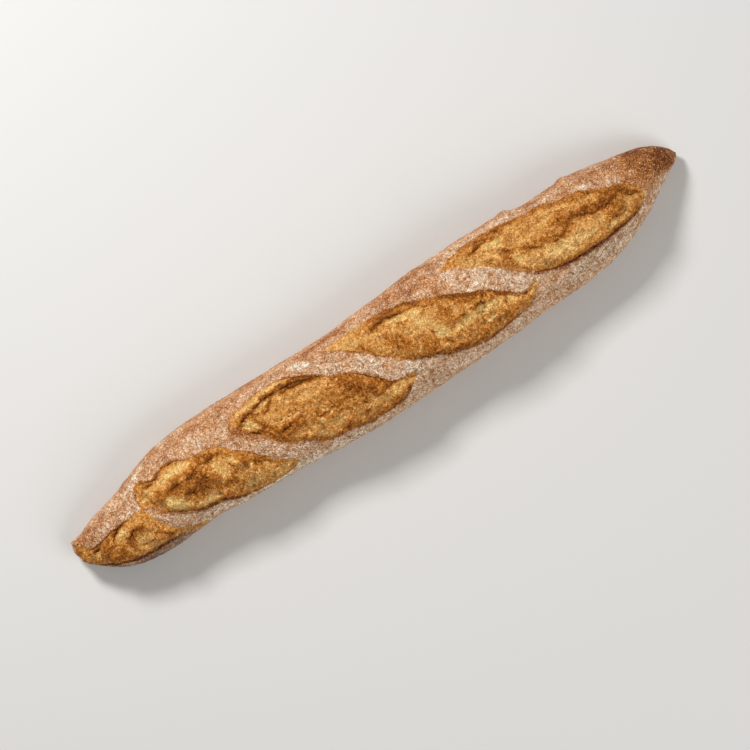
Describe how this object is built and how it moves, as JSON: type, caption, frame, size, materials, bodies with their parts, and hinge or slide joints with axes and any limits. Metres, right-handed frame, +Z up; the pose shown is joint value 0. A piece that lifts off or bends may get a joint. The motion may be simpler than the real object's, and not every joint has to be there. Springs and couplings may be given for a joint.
{
  "type": "baguette",
  "caption": "Long rustic scored baguette with pointed ends, a flat base and torn, bulging blooms in slanting slashes along its top.",
  "frame": {"origin": "middle of the loaf's length and width, on the surface it rests on", "axes": "+X along the loaf towards its slimmer pointed end, +Y across it towards the edge the slashes start from, +Z up"},
  "size_m": [0.52, 0.0802, 0.056],
  "materials": {
    "crust": "baked bread crust: floury tan skin with small dark pores, golden-orange torn crumb in the slashes and dark brown ridges, rough and dry"
  },
  "bodies": {
    "root": {"baguette": "crust"}
  },
  "joints": []
}
